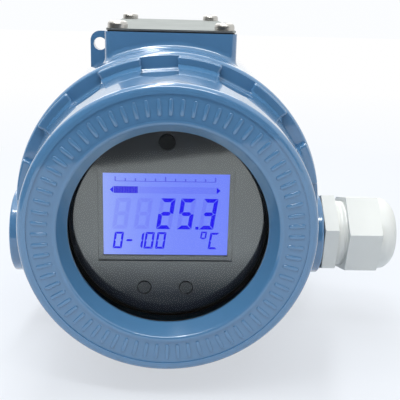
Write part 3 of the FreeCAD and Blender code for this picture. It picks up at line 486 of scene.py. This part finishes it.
# Screw threads. Radius at station s and turn t: core + depth * ridge(s / pitch - t), where ridge is
# a triangle wave from 0 to 1 that dies away at both ends; the skin is closed by a core inside the wall.
threads = {
    "glandNeckThread": {
        "axis": "x", "start": 62.3, "end": 72.9, "core": 12.0, "depth": 0.19, "pitch": 1.5, "bury": 0.6,
        "columns": 72, "body": "housing", "slot": "nylon", "material": mouldedMaterials["glandNylon"],
    },
    "frontSkirtThread": {
        "axis": "y", "start": -29.6, "end": -23.9, "core": 41.913, "depth": 0.15, "pitch": 1.5, "bury": 0.6,
        "columns": 144, "body": "front_screw_cover", "slot": "housing_paint", "material": bluePaint,
    },
    "rearSkirtThread": {
        "axis": "y", "start": 67.9, "end": 73.6, "core": 41.913, "depth": 0.15, "pitch": 1.5, "bury": 0.6,
        "columns": 144, "body": "rear_screw_cover", "slot": "housing_paint", "material": bluePaint,
    },
    "sensorEntryThread": {
        "axis": "z", "start": 0.8, "end": 12.6, "core": 12.5, "depth": -0.7, "pitch": 2.0, "bury": -0.8,
        "columns": 96, "body": "housing", "slot": "housing_paint", "material": bluePaint,
    },
}
rowsPerPitch = 8


def addThread(name, look):
    count = int((look["end"] - look["start"]) / look["pitch"] * rowsPerPitch)
    station = np.linspace(look["start"], look["end"], count)[:, None]
    turn = np.linspace(0, 1, look["columns"], endpoint=False)[None, :]
    ridge = 1 - np.abs(((station / look["pitch"] - turn) % 1) * 2 - 1)
    fade = np.clip(np.minimum(station - look["start"], look["end"] - station) / look["pitch"], 0, 1)
    radius = np.vstack((look["core"] + look["depth"] * ridge * fade,
                        np.full((2, look["columns"]), look["core"] - look["bury"])))
    along = np.vstack((station, [[look["end"]], [look["start"]]])) + 0 * turn
    aside, upward = radius * np.cos(turn * 2 * np.pi), radius * np.sin(turn * 2 * np.pi)
    order = {"x": (along, aside, upward), "y": (aside, along, upward), "z": (aside, upward, along)}[look["axis"]]
    centre = {"x": (0, glandAxis.y, glandAxis.z), "y": (0, 0, coverAxis.z), "z": (0, 0, 0)}[look["axis"]]
    points = np.stack(order, -1).reshape(-1, 3) * mm + np.array(centre)
    quads = gridFaces(count + 2, look["columns"], True, True)
    if insideOut(points, quads):
        quads = quads[:, ::-1]
    addPiece(name, points, quads.tolist(), look["material"], look["body"], True)


for name, look in threads.items():
    addThread(name, look)
print("threads done")

# Raised ribs in the shallow band of the front cover. Each is a small pillow: a rounded outline
# |u|^p + |v|^p = 1 drawn in by round * (1 - cos a) while it rises by round * sin a.
ringMarks = {
    "count": 72,
    "inner": 36.1,
    "outer": 41.1,
    "width": 1.25,
    "power": 6.0,
    "round": 0.26,
    "bends": (0, 30, 60, 85),
    "bandDepth": 0.4,  # of the cover's band
    "below": 0.02,  # of the cover's face
    "sink": 0.15,
    "columns": 16,
}


def addRingMarks():
    bandFloor, top = (coverLow.y / mm + ringMarks[key] for key in ("bandDepth", "below"))
    angle = np.linspace(0, 2 * np.pi, ringMarks["columns"], endpoint=False)
    reach = (np.abs(np.cos(angle)) ** ringMarks["power"] + np.abs(np.sin(angle)) ** ringMarks["power"])
    reach = reach ** (-1 / ringMarks["power"])
    bend = np.radians(ringMarks["bends"])
    level = np.concatenate(([bandFloor + ringMarks["sink"]], top + ringMarks["round"] * (1 - np.sin(bend))))[:, None]
    pull = np.concatenate(([0.0], ringMarks["round"] * (1 - np.cos(bend))))[:, None]
    halfLong = (ringMarks["outer"] - ringMarks["inner"]) / 2
    halfWide = ringMarks["width"] / 2
    u = (halfLong - pull) * (reach * np.cos(angle))[None, :] + (ringMarks["inner"] + ringMarks["outer"]) / 2
    v = (halfWide - pull) * (reach * np.sin(angle))[None, :]
    lean = (np.arange(ringMarks["count"]) / ringMarks["count"] * 2 * np.pi)[:, None, None]
    x = u * np.cos(lean) - v * np.sin(lean)
    z = u * np.sin(lean) + v * np.cos(lean)
    y = np.broadcast_to(level, x.shape)
    points = np.stack((x, y, z), -1).reshape(-1, 3) * mm + np.array((0, 0, coverAxis.z))
    rows, columns = u.shape
    first = np.arange(ringMarks["count"])[:, None, None] * rows * columns
    quads = (gridFaces(rows, columns, False, True)[None, :, ::-1] + first).reshape(-1, 4)
    around = np.arange(columns)[None, :]
    bottoms, tops = first[:, 0] + around[:, ::-1], first[:, 0] + around + (rows - 1) * columns
    addPiece("ringMarks", points, quads.tolist() + bottoms.tolist() + tops.tolist(),
             bluePaint, "front_screw_cover", True)


addRingMarks()
print("ring marks done")

# Display figures: flat outlines (u right, v up from the middle of the panel, mm) stood as thin plates
# just before the panel.
figures = {
    "lift": 0.05,
    "thickness": 0.035,
    "slant": 8.0,
    "ink": rgb(0.002, 0.0, 0.88),
    "pale": rgb(0.02, 0.01, 0.72),
    "base": rgb(0.01, 0.0, 0.04),
    "baseCell": rgb(0.02, 0.0, 0.06),
    "cell": 0.4 * mm,
    "rough": (0.25, 0.35),
    "scaleShare": 0.6,  # how much of the ink shows
    "ghostShare": 0.13,
}
sevenLit = {"0": "abcdef", "1": "bc", "2": "abged", "3": "abgcd", "5": "afgcd", "8": "abcdefg", "-": "g",
            "C": "adef", "o": "abfg", "2 unlit": "cf", "5 unlit": "be", "3 unlit": "ef"}


# The seven strokes of a figure, named a to g: bars with mitred ends, six corners each, and the
# left half turned over for the right, the upper half for the lower
def sevenStrokes(width, height, stroke):
    w, h, t = width / 2, height / 2, stroke
    gap = 0.1 * t
    top = np.array([(w - gap, h), (0, h), (gap - w, h), (t + gap - w, h - t), (0, h - t), (w - t - gap, h - t)])
    left = np.array([(-w, h - gap), (-w, h / 2), (-w, gap / 2), (t / 2 - w, gap / 2),
                     (t - w, t / 2 + gap / 2), (t - w, h - t - gap)])
    middle = np.array([(t / 2 + gap - w, 0), (t + gap - w, -t / 2), (w - t - gap, -t / 2),
                       (w - t / 2 - gap, 0), (w - t - gap, t / 2), (t + gap - w, t / 2)])
    over, under = np.array((-1, 1)), np.array((1, -1))
    return {
        "a": top, "b": (left * over)[::-1], "c": left * over * under, "d": (top * under)[::-1],
        "e": (left * under)[::-1], "f": left, "g": middle,
    }


def figure(sign, u, v, width, height, stroke):
    strokes = sevenStrokes(width, height, stroke)
    shape = np.stack([strokes[name] for name in sevenLit[sign]])
    lean = math.tan(math.radians(figures["slant"]))
    return np.stack((shape[..., 0] + shape[..., 1] * lean + u, shape[..., 1] + v), -1)


# upright bars from their left, right, lower and upper edges
def bars(*corners):
    u0, u1, v0, v1 = np.array(corners, float).T
    return np.stack((u0, v0, u1, v0, u1, v1, u0, v1), -1).reshape(-1, 4, 2)


def addFigures(name, shapes, colour, share=1.0):
    glow = Finish(name)
    cells = glow.grain(figures["cell"], 1)
    low, high = figures["rough"]
    shader = glow.principled(
        Base_Color=cells.tint(figures["base"], figures["baseCell"]),
        Roughness=low + (high - low) * cells,
        Specular_IOR_Level=lcdLook["sheen"],
        Emission_Color=(share * (1 - lcdLook["cellShare"] * cells)).tint(panelGlow(glow, cells), colour),
        Emission_Strength=1.0,
    )
    middle = (lcdLow + lcdHigh) / 2
    back = lcdLow.y / mm - figures["lift"]
    points, faces, start = [], [], 0
    for shape in shapes:  # arrays of outlines with the same number of corners
        many, corners = shape.shape[:2]
        layers = np.stack([np.stack((shape[..., 0], np.full((many, corners), level), shape[..., 1]), -1)
                           for level in (back, back - figures["thickness"])], 1)
        first = start + np.arange(many)[:, None] * corners * 2
        ring = np.arange(corners)
        after = (ring + 1) % corners
        sides = np.stack((ring, after, after + corners, ring + corners), -1)[None] + first[..., None]
        faces += (first + ring[::-1]).tolist() + (first + ring + corners).tolist() + sides.reshape(-1, 4).tolist()
        points.append(layers.reshape(-1, 3))
        start += many * corners * 2
    centre = np.array((middle.x, 0, middle.z))
    plates = addPiece(name, np.vstack(points) * mm + centre, faces, glow.close(shader), "housing")
    plates.visible_diffuse = False
    plates.visible_glossy = False


big = {"v": 0.2, "width": 4.7, "height": 10.2, "stroke": 1.28}
small = {"v": -8.75, "width": 2.9, "height": 5.6, "stroke": 0.68}
degree = {"v": -7.9, "width": 1.9, "height": 4.6, "stroke": 0.5}
# signs and their places across the panel
reading = {
    "lit": (("2", -0.1), ("5", 6.4), ("3", 13.4)),
    "unlit": (("8", -14.0), ("8", -7.2), ("2 unlit", -0.1), ("5 unlit", 6.4), ("3 unlit", 13.4)),
    "point": (9.35, 10.35, -4.95, -4.0),
    "range": (("0", -15.1), ("-", -11.6), ("1", -8.6), ("0", -5.3), ("0", -1.6), ("C", 15.3)),
    "degree": 11.9,
}
scale = {"left": -15.95, "right": 15.3, "foot": 10.75, "short": 11.65, "long": 12.2, "count": 11, "half": 0.2,
         "line": (10.64, 10.86)}
bar = {"start": -16.4, "lit": -9.0, "unlit": -8.8, "end": 15.6, "low": 6.85, "high": 9.05,
       "pitch": 0.5, "width": 0.46}
arrows = {"left": (-17.6, -16.55), "right": (17.0, 15.75), "v": 7.95}


def row(signs, size):
    return [figure(sign, u, **size) for sign, u in signs]


def addDisplay():
    low, high = bar["low"], bar["high"]
    (leftTip, leftFoot), (rightTip, rightFoot) = arrows["left"], arrows["right"]
    heads = np.array([[(leftTip, arrows["v"]), (leftFoot, low), (leftFoot, high)],
                      [(rightTip, arrows["v"]), (rightFoot, high), (rightFoot, low)]])
    lit = row(reading["lit"], big) + row(reading["range"], small) + row((("o", reading["degree"]),), degree)
    addFigures("displayFigures", [np.concatenate(lit), bars(reading["point"]), heads], figures["ink"])
    ticks = np.linspace(scale["left"], scale["right"], scale["count"])
    tops = np.where(np.arange(scale["count"]) % 5 == 0, scale["long"], scale["short"])
    marks = np.stack((ticks - scale["half"], ticks + scale["half"], np.full_like(ticks, scale["foot"]), tops), -1)
    line = (scale["left"], scale["right"], *scale["line"])
    addFigures("displayScale", [bars(*marks, line)], figures["pale"], figures["scaleShare"])
    hatch = np.arange(bar["start"], bar["lit"], bar["pitch"])
    strips = np.stack((hatch, hatch + bar["width"], np.full_like(hatch, low), np.full_like(hatch, high)), -1)
    addFigures("displayBar", [bars(*strips)], figures["pale"])
    ghosts = np.concatenate(row(reading["unlit"], big))
    rest = bars((bar["unlit"], bar["end"], low, high))
    addFigures("displayGhosts", [ghosts, rest], figures["ink"], figures["ghostShare"])


addDisplay()
print("display figures done")

# Camera at the photograph's place
view = {
    "place": Vector((-0.001, -0.2612, 0.1259)),
    "down": 16.5,
    "aside": 2.9,
    "roll": 1.6,
    "lens": 63,
    "sensor": 36,
    "nearest": 0.01,
}


def placeCamera():
    pitch, yaw, roll = (math.radians(view[key]) for key in ("down", "aside", "roll"))
    ahead = Vector((math.sin(yaw) * math.cos(pitch), math.cos(yaw) * math.cos(pitch), -math.sin(pitch)))
    right = ahead.cross(Vector((0, 0, 1))).normalized()
    up = right.cross(ahead)
    across = right * math.cos(roll) + up * math.sin(roll)
    upward = up * math.cos(roll) - right * math.sin(roll)
    data = bpy.data.cameras.new("photoCamera")
    data.lens = view["lens"]
    data.sensor_width = view["sensor"]
    data.sensor_fit = "HORIZONTAL"
    data.clip_start = view["nearest"]
    camera = bpy.data.objects.new("photoCamera", data)
    axes = Matrix((across, upward, -ahead)).transposed().to_4x4()
    camera.matrix_world = Matrix.Translation(view["place"]) @ axes
    bpy.context.scene.collection.objects.link(camera)
    bpy.context.scene.camera = camera


placeCamera()

# Studio: pale floor that turns white away from the object, white surroundings, ceiling tubes with a soft
# light further back, and a dark card behind the camera that only reflections meet
studio = {
    "floor": rgb(0.60, 0.635, 0.685),
    "floorShade": rgb(0.57, 0.605, 0.66),
    "floorCloud": 60 * mm,
    "floorSize": 4.0,
    # painted light: share of white glow on the floor near the object, lightening its shade there
    "floorGlow": 0.60,
    # painted shade: bluish grey tint of the floor's glow near the object, turning white further out
    "paintedShadeTint": rgb(0.94, 0.965, 1.0),
    # painted light: centre of the floor's glow, set right of the object so the left side whitens sooner
    "paintedLightCentre": (0.06, 0.02),
    "fade": (0.14, 0.34),
    "toneFade": (0.30, 0.70),
    "sky": rgb(0.97, 0.985, 1.0),
    "worldLight": 0.64,
    "white": 1.0,
    "card": rgb(0.015, 0.016, 0.018),
    "cardShade": rgb(0.02, 0.02, 0.022),
    "cardPlace": (0.002, -0.428),
    "cardTurn": -31.0,
    "cardSize": (2.4, 0.7),
    "lamps": (
        ("tubeFront", (-0.15, -0.40, 0.85), (1.1, 0.11), 4.2),
        ("tubeMiddle", (-0.10, 0.02, 0.95), (1.1, 0.11), 5.2),
        ("softBack", (-0.05, 1.10, 0.78), (1.1, 0.6), 4.6),
    ),
}


def addStage(name, corners, material):
    mesh = bpy.data.meshes.new(name)
    mesh.from_pydata(corners.tolist(), [], [(0, 1, 2, 3)])
    mesh.materials.append(material)
    thing = bpy.data.objects.new(name, mesh)
    bpy.context.scene.collection.objects.link(thing)
    return thing


def addFloor():
    sheet = Finish("floorSheet")
    cloud = sheet.grain(studio["floorCloud"], 2)
    pale = sheet.principled(
        Base_Color=cloud.tint(studio["floor"], studio["floorShade"]),
        Roughness=0.6 + 0.1 * cloud,
    )
    fromX, fromY = studio["paintedLightCentre"]
    # painted light and shade: near the object the floor glows at floorGlow in a bluish tint, lightening its shadow;
    # further out the glow is full white
    away = ((sheet.place(0) - fromX) ** 2 + (sheet.place(1) - fromY) ** 2) ** 0.5
    distance = away.within(*studio["fade"])
    glow = studio["floorGlow"] + (1 - studio["floorGlow"]) * distance
    tone = away.within(*studio["toneFade"]).tint(studio["paintedShadeTint"], rgb(1, 1, 1))
    white = sheet.wire.node("ShaderNodeEmission", {}, {"Color": tone, "Strength": studio["white"]})
    square = np.array([(-1, -1, 0), (1, -1, 0), (1, 1, 0), (-1, 1, 0)]) * studio["floorSize"] / 2
    addStage("floor", square, sheet.close((sheet.wire.seen() * glow).blend(pale, white)))


def addCard():
    felt = Finish("cardFelt")
    shader = felt.principled(
        Base_Color=felt.grain(3 * mm).tint(studio["card"], studio["cardShade"]),
        Roughness=0.8 + 0.1 * felt.grain(1 * mm),
    )
    width, height = studio["cardSize"]
    turn = math.radians(studio["cardTurn"])
    along = np.array((math.cos(turn), math.sin(turn), 0)) * width / 2
    base = np.array((*studio["cardPlace"], 0.0))
    rise = np.array((0, 0, height))
    card = addStage("darkCard", np.stack((base - along, base + along, base + along + rise, base - along + rise)),
                    felt.close(shader))
    card.visible_camera = False
    card.visible_diffuse = False
    card.visible_shadow = False


def addWorld():
    world = bpy.data.worlds.new("studioWorld")
    world.use_nodes = True
    tree = world.node_tree
    tree.nodes.clear()
    wire = Wire(tree)
    level = wire.seen() * (studio["white"] - studio["worldLight"]) + studio["worldLight"]
    sky = wire.node("ShaderNodeBackground", {}, {"Color": studio["sky"], "Strength": level})
    wire.node("ShaderNodeOutputWorld", {}, {"Surface": sky})
    bpy.context.scene.world = world


def addLamps():
    for name, place, size, power in studio["lamps"]:
        data = bpy.data.lights.new(name, "AREA")
        data.shape = "RECTANGLE"
        data.size, data.size_y = size
        data.energy = power
        lamp = bpy.data.objects.new(name, data)
        lamp.location = place
        aim = Vector((0, 0, coverAxis.z)) - Vector(place)
        lamp.rotation_euler = aim.to_track_quat("-Z", "Y").to_euler()
        bpy.context.scene.collection.objects.link(lamp)


addFloor()
addCard()
addWorld()
addLamps()
print("studio done")

bpy.context.scene.view_settings.view_transform = "Standard"
